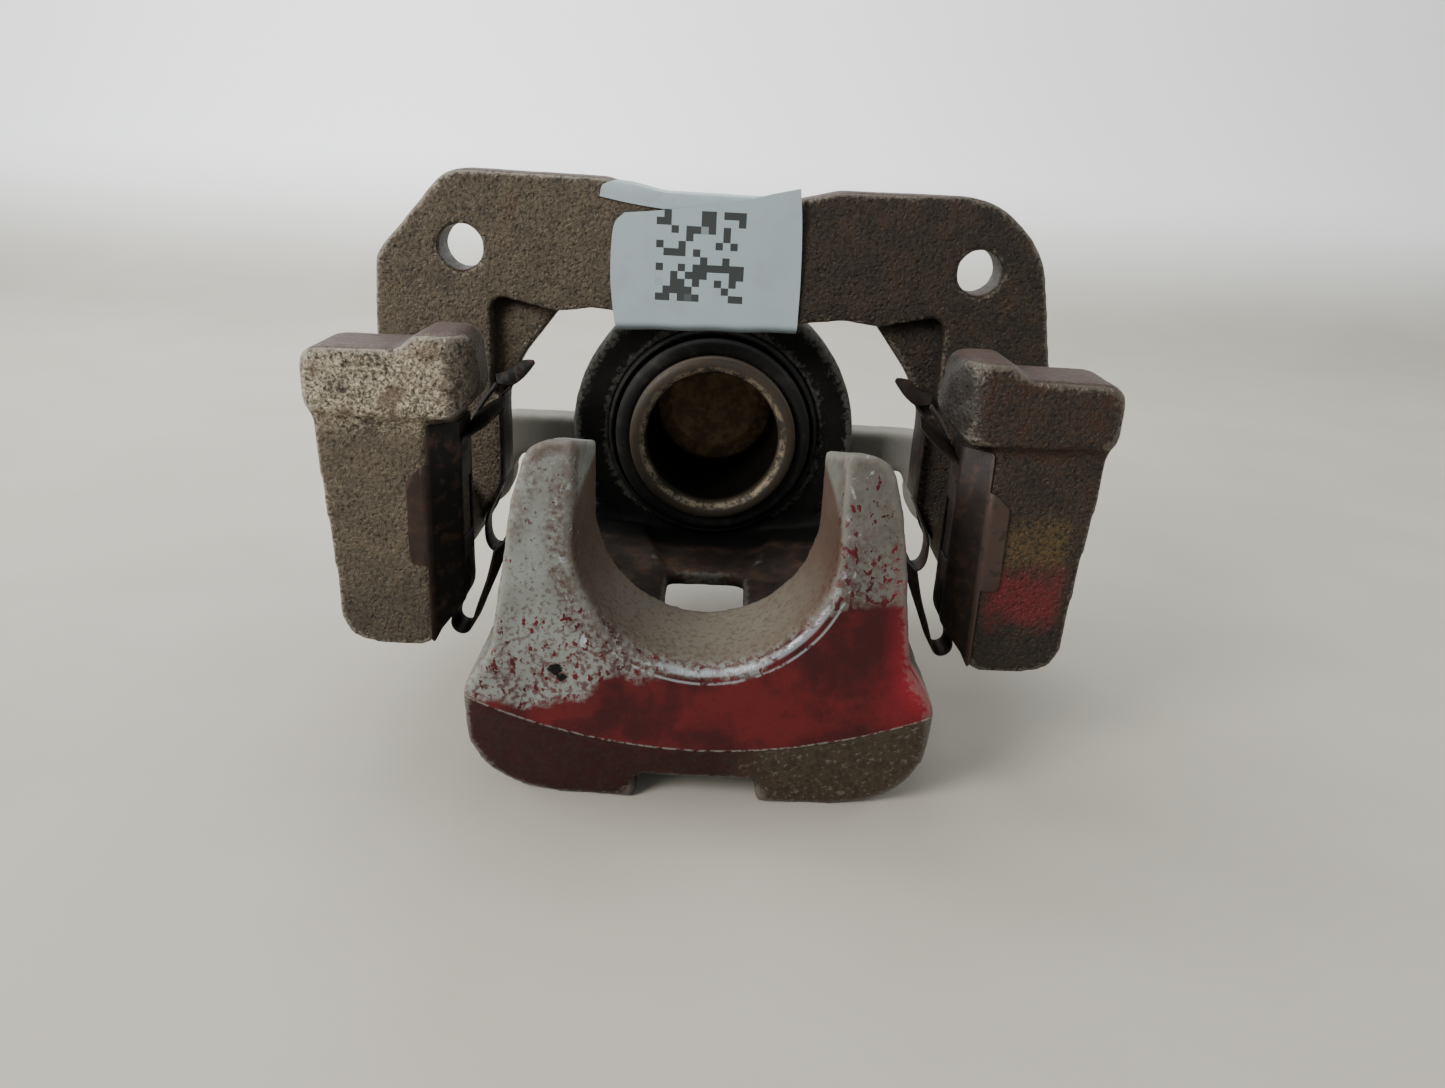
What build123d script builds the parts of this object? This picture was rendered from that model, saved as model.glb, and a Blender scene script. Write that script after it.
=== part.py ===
from build123d import *
import os
from math import sqrt, cos, sin, radians

# Floating brake caliper with its carrier, millimetres.
# X runs across the pads, Y along the piston from the wheel side (-Y) to the inner side (+Y), Z up.
# The caliper stands on the back of its bridge; the disc would come in from above.
# The origin is on the ground, below the middle of the whole part.

# Disc and piston
axis_z = 58.0            # height of the piston's axis
disc_sweep_r = 132.0     # the bridge clears the disc by this radius
disc_centre_z = 162.0
piston_r = 21.4
piston_rim_y = 9.5
piston_length = 50.0
cup_r = 17.0
cup_depth = 46.0
running_gap = 0.05

# Caliper housing
front_y = -70.0          # the fullest point of the fingers' front, on the parting line
finger_back_y = -45.5
finger_top_z = 77.3
finger_slope = 0.245     # the fingers' tops fall away towards the disc
u_front_r = 25.7
u_back_r = 23.3
bridge_half = 47.4
bridge_corner_z = 25.0
shoulder_half = 41.0
shoulder_z = 36.0
parting_z = 14.0         # height of the parting line at the middle
upper_lean = 0.055       # how far the front leans back per millimetre of height
lower_lean = 0.24
lower_bulge_r = 400.0
channel_half = 12.4
channel_mouth_z = 6.5
channel_roof_z = 26.6
rail_back_y = 30.0
flange_r = 37.0
flange_y = (17.5, 29.0)
barrel_r = 30.5
barrel_back_y = 66.0
rear_y = 70.0
window_half = 9.2
window_y = (-41.0, -12.5)
ground_top_z = 32.8      # raised ground on both sides of the window's rear end

# Bore details
seal_y = (33.0, 37.0)
seal_r = 23.9
boot_seat_r = 27.4
boot_seat_y = 23.0

# Guide pins
pin_x = 67.0
pin_z = 39.0
pin_r = 5.0
boss_r = 11.0
ear_y = (34.5, 44.5)
ear_top_z = 56.0
ear_low_z = 45.0         # underside of the arm between the cylinder and the pin's boss
pin_tip_y = -38.0
collar_y = 28.5
bore_end_y = -43.0
bolt_r = 4.0

# Carrier
plate_y = (-2.5, 9.5)
lug_y = (-54.5, -36.5)
leg_front_y = -52.8
half_width = 81.0
abutment_x = 51.6
bevel_depth = 5.5        # the outer legs' inner front edges are bevelled back by this much
leg_edge_x = 57.3
hole_spacing = 121.0
hole_z = 104.2
hole_r = 5.25
label_top_z = 121.2
bar_low_z = 90.0
pocket_depth = 4.5

# Sheet parts
sheet = 0.5
fit_gap = 0.06

# Bleeder and hose port
bleeder_x, bleeder_y = -14.0, 53.0
port_x, port_z, port_r = 9.0, 60.0, 4.6


def slab(sketch, y_from, y_to):
    """A flat outline drawn in X and Z, made solid between two Y planes."""
    return extrude(Plane.XZ.offset(-y_to) * sketch, y_to - y_from)


def outline(points, radii=None):
    """A closed outline whose corners are rounded by the radii given for some of its points."""
    face = make_face(Polyline(*points, close=True))
    for number, radius in (radii or {}).items():
        x, z = points[number]
        corner = [v for v in face.vertices() if abs(v.X - x) < 1e-4 and abs(v.Y - z) < 1e-4]
        face = fillet(corner, radius)
    return face


def turned(points):
    """A solid of revolution about the piston's axis, from (radius, y) points."""
    return Pos(0, 0, axis_z) * revolve(make_face(Polyline(*points, close=True)), Axis.Y)


def rod(x, z, radius, y_from, y_to):
    """A round bar along Y."""
    return slab(Pos(x, z) * Circle(radius), y_from, y_to)


def box(x, y, z):
    """A box between three pairs of limits."""
    size = (x[1] - x[0], y[1] - y[0], z[1] - z[0])
    return Pos((x[0] + x[1]) / 2, (y[0] + y[1]) / 2, (z[0] + z[1]) / 2) * Box(*size)


def hexagon(across_flats):
    return RegularPolygon(across_flats / 2, 6, major_radius=False)


def both(points):
    """Right-hand outline points, followed by the same points mirrored to the left."""
    return points + [(-x, z) for x, z in reversed(points)]


# ---------------------------------------------------------------- caliper housing

def front_outline(y):
    """The front wall's outline at one depth: only the height of the fingers changes."""
    top = finger_top_z - finger_slope * (y - front_y)
    half = [(bridge_half, 0.0), (bridge_half, bridge_corner_z), (shoulder_half + 0.6, shoulder_z - 2),
            (37.6, 64.0), (34.0, top)]
    points = both(half)
    last = len(points) - 1
    radii = {0: 16.0, 1: 4.0, 2: 5.0, 3: 5.0, 4: 6.0, last: 16.0, last - 1: 4.0, last - 2: 5.0,
             last - 3: 5.0, last - 4: 6.0}
    return Plane.XZ.offset(-y) * outline(points, radii)


def front_block():
    """The two fingers and the wall below them, before the U is cut."""
    block = loft([front_outline(front_y - 8), front_outline(finger_back_y)], ruled=True)
    return block & front_faces()


def front_faces():
    """The space behind the upper, leaning front face and the lower, bulging one."""
    high, deep = 120.0, 60.0
    lean = [(front_y, parting_z), (front_y + upper_lean * (high - parting_z), high),
            (deep, high), (deep, -deep), (front_y - upper_lean * (deep + parting_z), -deep)]
    upper = extrude(Plane.YZ * make_face(Polyline(*lean, close=True)), 80, both=True)
    slope = sqrt(1 + lower_lean ** 2)
    centre = (0, front_y + lower_bulge_r / slope, parting_z + lower_bulge_r * lower_lean / slope)
    tilt = Plane(origin=centre, x_dir=(1, 0, 0), z_dir=(0, -lower_lean, 1))
    return upper & (tilt * Cylinder(lower_bulge_r, 420.0))


def u_outline(radius):
    """The U between the fingers, open at the top."""
    return Pos(0, axis_z) * Circle(radius) + Pos(0, axis_z + 30) * Rectangle(2 * radius, 60)


def u_cutter():
    """The U with its draft, and the broken edge round its front."""
    planes = [Plane.XZ.offset(-y) for y in (front_y - 2, front_y + 3.2, finger_back_y + 1)]
    rim = loft([planes[0] * u_outline(u_front_r + 3.6), planes[1] * u_outline(u_front_r)])
    wall = loft([planes[1] * u_outline(u_front_r), planes[2] * u_outline(u_back_r)])
    return rim + wall


def bridge():
    """The bridge over the disc's edge, with the window and the channel along its back."""
    half = [(bridge_half, 0.0), (bridge_half, bridge_corner_z), (shoulder_half, shoulder_z)]
    points = both(half)
    last = len(points) - 1
    body = slab(outline(points, {0: 16.0, 1: 4.0, last: 16.0, last - 1: 4.0}), finger_back_y, rail_back_y)
    disc = rod(0, disc_centre_z, disc_sweep_r, finger_back_y - 1, flange_y[0])
    body -= disc
    ground = [(window_half - 1.6, window_y[1] - 1), (30, window_y[1] - 1), (38, flange_y[0] + 1),
              (14.5, flange_y[0] + 1)]
    face = make_face(Polyline(*ground, close=True))
    raised = Pos(0, 0, channel_roof_z) * extrude(face, ground_top_z - channel_roof_z, taper=30)
    return body + raised + mirror(raised, about=Plane.YZ)


def barrel():
    """The cylinder: front flange, body and rounded closed end."""
    points = [(0, flange_y[0]), (flange_r - 1.5, flange_y[0]), (flange_r, flange_y[0] + 1.5),
              (flange_r, flange_y[1]), (barrel_r, flange_y[1] + 7), (barrel_r - 1, barrel_back_y - 6),
              (barrel_r - 6, barrel_back_y), (0, barrel_back_y)]
    return turned(points)


def ear(side):
    """The flat arm that carries one guide pin."""
    points = [(side * 20, ear_top_z), (side * 57, ear_top_z), (side * (pin_x + 6.6), pin_z + 9.5),
              (side * pin_x, pin_z - boss_r), (side * (pin_x - 9.5), pin_z - 1.0), (side * 53.5, ear_low_z),
              (side * 38, ear_low_z - 1.5), (side * 20, 36.0)]
    arm = make_face(Polyline(*points, close=True)) + Pos(side * pin_x, pin_z) * Circle(boss_r)
    plate = slab(arm, ear_y[0], ear_y[1])
    return plate - rod(side * pin_x, pin_z, bolt_r + 0.3, ear_y[0] - 1, ear_y[1] + 1)


def bore():
    """Everything that is machined out of the cylinder."""
    r = piston_r + running_gap
    end = piston_rim_y + piston_length + 1.5
    points = [(0, flange_y[0] - 1), (boot_seat_r, flange_y[0] - 1), (boot_seat_r, boot_seat_y),
              (r, boot_seat_y), (r, seal_y[0]), (seal_r, seal_y[0]), (seal_r, seal_y[1]), (r, seal_y[1]),
              (r, end), (0, end)]
    return turned(points)


def caliper_housing():
    body = front_block() + bridge() + barrel() + ear(1) + ear(-1)
    body += rod(port_x, port_z, 9.0, barrel_back_y - 8, rear_y)
    body += Pos(bleeder_x, bleeder_y, axis_z + 28) * Cylinder(7.5, 22.0)
    body -= u_cutter()
    body -= box((-channel_half, channel_half), (front_y - 5, -50.0), (-1, channel_mouth_z))
    body -= box((-channel_half, channel_half), (-58.0, rear_y), (-1, channel_roof_z))
    body -= Pos(0, sum(window_y) / 2, 30) * extrude(
        RectangleRounded(2 * window_half, window_y[1] - window_y[0], 3.5), 10, both=True)
    body -= bore()
    body -= rod(port_x, port_z, port_r, piston_rim_y + piston_length, rear_y + 1)
    body -= Pos(bleeder_x, bleeder_y, axis_z + 24) * Cylinder(3.3, 44.0)
    return body


# ---------------------------------------------------------------- piston and its soft parts

def piston():
    groove = (piston_rim_y + 3.0, piston_rim_y + 6.0)
    back = piston_rim_y + piston_length
    points = [(cup_r + 1.6, piston_rim_y), (piston_r - 1.2, piston_rim_y), (piston_r, piston_rim_y + 1.0),
              (piston_r, groove[0]), (piston_r - 1.6, groove[0]), (piston_r - 1.6, groove[1]),
              (piston_r, groove[1]), (piston_r, back - 2), (piston_r - 2, back), (0, back),
              (0, piston_rim_y + cup_depth), (cup_r - 4.0, piston_rim_y + cup_depth),
              (cup_r - 0.6, piston_rim_y + cup_depth - 3.0), (cup_r, piston_rim_y + 2.0)]
    return turned(points)


def piston_seal():
    inner = piston_r + 0.03
    points = [(inner, seal_y[0] + 0.2), (seal_r - 0.1, seal_y[0] + 0.2), (seal_r - 0.1, seal_y[1] - 0.2),
              (inner, seal_y[1] - 0.2)]
    return turned(points)


def dust_boot():
    """The folded rubber boot between the housing's mouth and the piston's groove."""
    lip_y = piston_rim_y + 3.2
    points = [(piston_r - 1.4, lip_y), (piston_r + 1.9, lip_y - 0.3), (piston_r + 2.5, lip_y + 4.0),
              (piston_r + 3.4, lip_y + 0.9), (piston_r + 3.9, lip_y + 6.2), (boot_seat_r - 0.1, lip_y + 6.2),
              (boot_seat_r - 0.1, boot_seat_y - 0.2), (piston_r + 3.6, boot_seat_y - 0.2),
              (piston_r + 3.2, lip_y + 3.4), (piston_r + 2.9, lip_y + 6.0), (piston_r + 1.4, lip_y + 6.0),
              (piston_r + 1.0, lip_y + 2.4), (piston_r - 1.4, lip_y + 2.4)]
    return turned(points)


def boot_ring():
    """The wire ring that holds the boot's bead in the housing."""
    wire = Pos(boot_seat_r - 1.0, flange_y[0] + 0.4) * Circle(0.75)
    return Pos(0, 0, axis_z) * revolve(wire, Axis.Y)


# ---------------------------------------------------------------- guide pins

def guide_pin(side, bushed):
    x = side * pin_x
    pin = rod(x, pin_z, pin_r, pin_tip_y + (14.0 if bushed else 1.0), collar_y)
    if bushed:
        pin += rod(x, pin_z, pin_r - 1.5, pin_tip_y, pin_tip_y + 15.0)
    else:
        pin += rod(x, pin_z, pin_r - 0.8, pin_tip_y, pin_tip_y + 1.5)
    pin += rod(x, pin_z, 7.2, collar_y - 2.5, collar_y)
    pin += slab(Pos(x, pin_z) * hexagon(15), collar_y, ear_y[0])
    return pin - rod(x, pin_z, bolt_r + 0.05, collar_y - 16, ear_y[0] + 1)


def pin_bush():
    """The rubber bush on the right pin's tip."""
    ring = rod(pin_x, pin_z, pin_r, pin_tip_y + 1.0, pin_tip_y + 13.8)
    for step in range(3):
        y = pin_tip_y + 3.2 + step * 3.6
        ring -= rod(pin_x, pin_z, pin_r + 1, y, y + 1.2) - rod(pin_x, pin_z, pin_r - 0.6, y - 1, y + 2)
    return ring - rod(pin_x, pin_z, pin_r - 1.5 + 0.03, pin_tip_y, pin_tip_y + 15)


def pin_bolt(side):
    x = side * pin_x
    bolt = rod(x, pin_z, bolt_r, collar_y - 13, ear_y[1])
    bolt += rod(x, pin_z, 8.2, ear_y[1], ear_y[1] + 1.6)
    head = slab(Pos(x, pin_z) * hexagon(13), ear_y[1] + 1.6, ear_y[1] + 8.5)
    dome = rod(x, pin_z, 7.1, ear_y[1] + 1.0, ear_y[1] + 8.5)
    return bolt + (head & dome)


def pin_boot(side):
    """The small bellows between the carrier's boss and the pin's collar."""
    near, far = plate_y[1] + 2.2, collar_y - 2.8
    folds = 3
    pitch = (far - near - 5.0) / folds
    outer = [(8.9, near), (10.4, near), (10.4, near + 3.0)]
    inner = []
    for fold in range(folds):
        y = near + 3.0 + fold * pitch
        outer += [(8.2, y + 0.25 * pitch), (10.6, y + 0.75 * pitch)]
        inner += [(7.0, y + 0.25 * pitch), (9.3, y + 0.75 * pitch)]
    outer += [(8.0, far - 2.0), (7.6, far)]
    inner += [(6.4, far - 2.0), (5.3, far)]
    points = outer + inner[::-1] + [(8.9, near + 3.0)]
    sleeve = revolve(make_face(Polyline(*points, close=True)), Axis.Y)
    return Pos(side * pin_x, 0, pin_z) * sleeve


# ---------------------------------------------------------------- carrier

def plate_outline():
    """The inner plate: two ears, the bar between them and a leg down to each guide pin."""
    right = [(16.0, 118.0), (27.4, 120.7), (62.6, 120.9), (75.0, 109.6), (80.3, 82.0), (79.0, 52.0)]
    left = [(-79.0, 52.0), (-half_width, 84.0), (-80.6, 101.5), (-63.2, 121.6), (-27.5, 121.2), (-14.0, 118.2)]
    hollow_right = [(56.0, pin_z), (abutment_x, 48.0), (abutment_x, 70.0), (46.6, 79.5), (38.2, 90.4), (30.0, 91.6)]
    hollow_left = [(-x, z) for x, z in reversed(hollow_right)]
    low = [(pin_x, pin_z)]
    mirrored_low = [(-pin_x, pin_z)]
    middle = [(12.0, bar_low_z - 0.6), (-12.0, bar_low_z)]
    points = right + low + hollow_right + middle + hollow_left + mirrored_low + left
    face = make_face(Polyline(*points, close=True))
    soft = {(62.6, 120.9): 19.0, (75.0, 109.6): 19.0, (-63.2, 121.6): 9.0, (-80.6, 101.5): 8.0,
            (46.6, 79.5): 3.0, (-46.6, 79.5): 3.0}
    for (x, z), radius in soft.items():
        corner = [v for v in face.vertices() if abs(v.X - x) < 1e-4 and abs(v.Y - z) < 1e-4]
        face = fillet(corner, radius)
    return face


def arm(side):
    """The arm over the disc's edge, with the guide pin's boss in it."""
    points = [(side * 57.0, 35.0), (side * pin_x, 28.0), (side * 77.5, 36.0), (side * 78.6, 48.0),
              (side * 74.0, 52.0), (side * 63.0, 46.0)]
    web = make_face(Polyline(*points, close=True)) + Pos(side * pin_x, pin_z) * Circle(boss_r - 0.6)
    body = slab(web, lug_y[1] - 1.0, plate_y[1])
    return body + rod(side * pin_x, pin_z, 9.6, plate_y[1], plate_y[1] + 2.0) + rod(
        side * pin_x, pin_z, 8.8, plate_y[1] + 2.0, plate_y[1] + 5.0)


def outer_leg(side):
    """The leg at the wheel side: nearly straight, with rounded lower corners and a bevelled inner edge."""
    points = [(side * 79.4, 78.0), (side * 78.7, 66.0), (side * 76.9, 46.0), (side * 76.0, 26.4),
              (side * 58.4, 26.4), (side * 56.4, 28.0), (side * abutment_x, 36.0), (side * abutment_x, 78.0)]
    radii = [0, 12.0, 12.0, 7.0, 1.5, 2.0, 2.0, 0]
    face = make_face(Polyline(*points, close=True))
    for (x, z), radius in zip(points, radii):
        if radius:
            corner = [v for v in face.vertices() if abs(v.X - x) < 1e-4 and abs(v.Y - z) < 1e-4]
            face = fillet(corner, radius)
    leg = slab(face, leg_front_y, lug_y[1])
    bevel = [(side * leg_edge_x, leg_front_y - 1), (side * leg_edge_x, leg_front_y),
             (side * abutment_x, leg_front_y + bevel_depth), (side * 40, leg_front_y + bevel_depth),
             (side * 40, leg_front_y - 1)]
    return leg - Pos(0, 0, 20) * extrude(make_face(Polyline(*bevel, close=True)), 60)


def lug(side):
    """The thick head on top of the outer leg, with the raised bump on its inner side."""
    points = [(side * half_width, 76.2), (side * half_width, 89.4), (side * 61.0, 89.6), (side * 57.5, 92.6),
              (side * 48.0, 92.6), (side * 46.8, 80.0), (side * 51.0, 75.6)]
    face = make_face(Polyline(*points, close=True))
    radii = [3.0, 5.0, 3.0, 3.0, 4.0, 4.0, 2.5]
    for (x, z), radius in zip(points, radii):
        corner = [v for v in face.vertices() if abs(v.X - x) < 1e-4 and abs(v.Y - z) < 1e-4]
        face = fillet(corner, radius)
    head = slab(face, lug_y[0], lug_y[1])
    plan = [(side * half_width, lug_y[0]), (side * half_width, lug_y[1]), (side * 46.8, lug_y[1]),
            (side * 46.8, lug_y[1] - 9), (side * 51.0, lug_y[0])]
    top = make_face(Polyline(*plan, close=True))
    corner = [v for v in top.vertices() if v.Y < lug_y[1] - 1]
    top = fillet(corner, 3.2)
    return head & Pos(0, 0, 60) * extrude(top, 50)


def carrier_bracket():
    body = slab(plate_outline(), plate_y[0], plate_y[1])
    for side in (-1, 1):
        body += arm(side) + outer_leg(side) + lug(side)
        points = [(side * 53.8, 93.8), (side * 36.0, 90.0), (side * 44.0, 72.0), (side * 53.8, 70.0)]
        pocket = make_face(Polyline(*points, close=True))
        outer_top = [v for v in pocket.vertices() if abs(v.X) > 53 and v.Y > 90]
        body -= slab(fillet(outer_top, 3.0), plate_y[0] - 1, plate_y[0] + pocket_depth)
        body -= rod(side * hole_spacing / 2, hole_z, hole_r, plate_y[0] - 1, plate_y[1] + 1)
        body -= rod(side * pin_x, pin_z, pin_r + running_gap, bore_end_y, plate_y[1] + 8)
    return body


# ---------------------------------------------------------------- pad clips

def strip(points, thickness):
    """A bent strip's outline: a line of constant thickness."""
    return trace(Polyline(*points), thickness)


def upright(points, z_from, z_to):
    """A sheet that follows a line drawn in X and Y, standing between two heights."""
    return Pos(0, 0, z_from) * extrude(strip(points, sheet), z_to - z_from)


def pad_clip_outer(side):
    """The spring clip on an outer leg: flap, tongue, guide face with a window, top wing, curl and leaf."""
    off = fit_gap + sheet / 2
    face_x, front = abutment_x - off, leg_front_y - off
    edge, elbow = (side * (leg_edge_x - 0.1), front), (side * face_x, leg_front_y + bevel_depth - off)
    slope = (leg_edge_x - 0.1 - face_x) / (elbow[1] - front)
    tongue_end = (side * (leg_edge_x - 0.1 - 1.6 * slope), front + 1.6)
    body = upright([(side * 60.8, front), edge], 45.0, 65.0)
    body += upright([edge, elbow, (side * face_x, lug_y[1] - 1.0)], 38.0, 74.0)
    body += upright([edge, tongue_end], 27.6, 39.0)
    body -= box((48, 53) if side > 0 else (-53, -48), (-46.0, -39.0), (48.5, 61.0))
    wing = [(side * face_x, 66.0), (side * face_x, 71.0), (side * 48.4, 73.8), (side * 42.5, 77.0)]
    low = [(side * face_x, 40.0), (side * face_x, 35.8), (side * 54.8, 30.0), (side * 54.9, 28.0),
           (side * 54.0, 26.3), (side * 52.3, 25.7), (side * 50.7, 26.7), (side * 50.1, 28.6)]
    leaf = [(side * 48.6, 33.0), (side * 46.4, 40.0), (side * 45.6, 44.5)]
    body += slab(strip(wing, sheet), -46.0, -38.0)
    body += slab(strip(low + leaf, sheet), -44.5, -37.8)
    return body


def pad_clip_inner(side):
    """The spring clip on the plate's edge: guide face, top wing and bottom hook."""
    off = fit_gap + sheet / 2
    face_x = abutment_x - off
    main = [(side * 47.2, 74.6), (side * 49.4, 71.8), (side * face_x, 69.0), (side * face_x, 48.4)]
    wing = [(side * 42.8, 78.8), (side * 45.2, 75.2), (side * 48.6, 72.4)]
    hook = [(side * face_x, 49.0), (side * face_x, 47.9), (side * 54.7, 40.7), (side * 55.1, 36.5),
            (side * 54.9, 33.0), (side * 54.0, 31.2), (side * 52.6, 30.7), (side * 51.4, 31.7), (side * 51.0, 33.6)]
    body = slab(strip(main, sheet), plate_y[0] - 3.0, plate_y[1] - 1.0)
    body += slab(strip(wing, sheet), plate_y[0] - 3.0, plate_y[0] + 4.0)
    body += slab(strip(hook, sheet), plate_y[0] - 3.0, plate_y[0] + 4.0)
    return body


# ---------------------------------------------------------------- bleeder and label

def bleeder_screw():
    at = Pos(bleeder_x, bleeder_y, 0)
    seat = axis_z + 39.0
    screw = at * Pos(0, 0, seat - 7.5) * Cylinder(3.2, 15.0)
    screw += at * Pos(0, 0, seat) * extrude(hexagon(9), 6.0)
    screw += at * Pos(0, 0, seat + 8.0) * Cylinder(2.6, 4.2)
    screw += at * Pos(0, 0, seat + 11.4) * Cone(3.5, 2.6, 3.0)
    return screw - at * Pos(0, 0, seat + 4.0) * Cylinder(0.9, 24.0)


def bleeder_cap():
    at = Pos(bleeder_x, bleeder_y, axis_z + 45.3)
    cap = at * Cylinder(5.0, 9.4, align=(Align.CENTER, Align.CENTER, Align.MIN))
    cap += at * Pos(0, 0, 9.0) * Cone(5.0, 3.4, 1.8, align=(Align.CENTER, Align.CENTER, Align.MIN))
    hollow = at * Pos(0, 0, -1) * Cylinder(3.62, 9.0, align=(Align.CENTER, Align.CENTER, Align.MIN))
    return cap - hollow


def stock_label():
    """The paper label wrapped over the bar: front, top and back."""
    gap, paper = 0.15, 0.35
    front, back, top = plate_y[0] - gap, plate_y[1] + gap, label_top_z
    points = [(front - paper, 87.6), (front, 87.6), (front, top), (back, top), (back, 101.0),
              (back + paper, 101.0), (back + paper, top + paper), (front - paper, top + paper)]
    wrap = extrude(Plane.YZ * make_face(Polyline(*points, close=True)), 22.0, both=True)
    return Pos(-3.5, 0, 0) * wrap


os.makedirs("parts", exist_ok=True)
parts = {
    "caliper_housing": caliper_housing(),
    "piston": piston(),
    "piston_seal": piston_seal(),
    "dust_boot": dust_boot(),
    "boot_ring": boot_ring(),
    "guide_pin_left": guide_pin(-1, False),
    "guide_pin_right": guide_pin(1, True),
    "pin_bush": pin_bush(),
    "pin_bolt_left": pin_bolt(-1),
    "pin_bolt_right": pin_bolt(1),
    "pin_boot_left": pin_boot(-1),
    "pin_boot_right": pin_boot(1),
    "carrier_bracket": carrier_bracket(),
    "pad_clip_outer_left": pad_clip_outer(-1),
    "pad_clip_outer_right": pad_clip_outer(1),
    "pad_clip_inner_left": pad_clip_inner(-1),
    "pad_clip_inner_right": pad_clip_inner(1),
    "bleeder_screw": bleeder_screw(),
    "bleeder_cap": bleeder_cap(),
    "stock_label": stock_label(),
}
for name, solid in parts.items():
    export_step(solid, "parts/" + name + ".step")
    print(name, round(solid.volume), "mm3", len(solid.solids()), "solid")
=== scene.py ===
import math

import bmesh
import bpy
import numpy as np
from mathutils import Matrix, Vector


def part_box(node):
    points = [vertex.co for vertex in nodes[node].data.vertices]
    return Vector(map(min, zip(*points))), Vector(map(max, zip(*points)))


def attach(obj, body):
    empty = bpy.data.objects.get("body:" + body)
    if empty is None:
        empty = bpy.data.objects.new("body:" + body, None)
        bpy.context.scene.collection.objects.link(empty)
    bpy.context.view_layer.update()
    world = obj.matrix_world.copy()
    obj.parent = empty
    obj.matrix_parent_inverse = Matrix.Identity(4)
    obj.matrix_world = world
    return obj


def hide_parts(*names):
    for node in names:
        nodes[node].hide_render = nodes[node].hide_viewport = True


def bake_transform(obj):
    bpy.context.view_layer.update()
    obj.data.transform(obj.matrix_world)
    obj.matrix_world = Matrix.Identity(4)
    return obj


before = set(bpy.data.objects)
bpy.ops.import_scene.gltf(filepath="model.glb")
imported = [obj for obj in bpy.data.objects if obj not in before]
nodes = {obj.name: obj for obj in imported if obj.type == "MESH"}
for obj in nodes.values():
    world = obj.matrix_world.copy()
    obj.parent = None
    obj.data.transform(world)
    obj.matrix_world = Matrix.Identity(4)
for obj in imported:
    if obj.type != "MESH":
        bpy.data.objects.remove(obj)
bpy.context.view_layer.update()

mm = 0.001

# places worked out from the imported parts, in metres
pistonLow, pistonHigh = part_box("piston")
axisZ = (pistonLow.z + pistonHigh.z) / 2
pistonRadius = (pistonHigh.z - pistonLow.z) / 2
rimY = pistonLow.y
bellowsLow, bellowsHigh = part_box("pin_boot_right")
pinX = (bellowsLow.x + bellowsHigh.x) / 2
pinZ = (bellowsLow.z + bellowsHigh.z) / 2
print("frame loaded")


# shader arithmetic: a socket that takes + - * / and makes the Math nodes

class Wire:
    def __init__(self, tree, socket):
        self.tree = tree
        self.socket = socket

    def maths(self, operation, *values):
        made = self.tree.nodes.new("ShaderNodeMath")
        made.operation = operation
        for socket, value in zip(made.inputs, values):
            plug(self.tree, socket, value)
        return Wire(self.tree, made.outputs[0])

    def __add__(self, other):
        return self.maths("ADD", self, other)

    def __radd__(self, other):
        return self.maths("ADD", other, self)

    def __sub__(self, other):
        return self.maths("SUBTRACT", self, other)

    def __rsub__(self, other):
        return self.maths("SUBTRACT", other, self)

    def __mul__(self, other):
        return self.maths("MULTIPLY", self, other)

    def __rmul__(self, other):
        return self.maths("MULTIPLY", other, self)

    def __truediv__(self, other):
        return self.maths("DIVIDE", self, other)

    def __abs__(self):
        return self.maths("ABSOLUTE", self)

    def power(self, other):
        return self.maths("POWER", self, other)

    def floor(self):
        return self.maths("FLOOR", self)

    def most(self, other):
        return self.maths("MAXIMUM", self, other)


def plug(tree, socket, value):
    if isinstance(value, Wire):
        tree.links.new(value.socket, socket)
    else:
        socket.default_value = value


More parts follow.
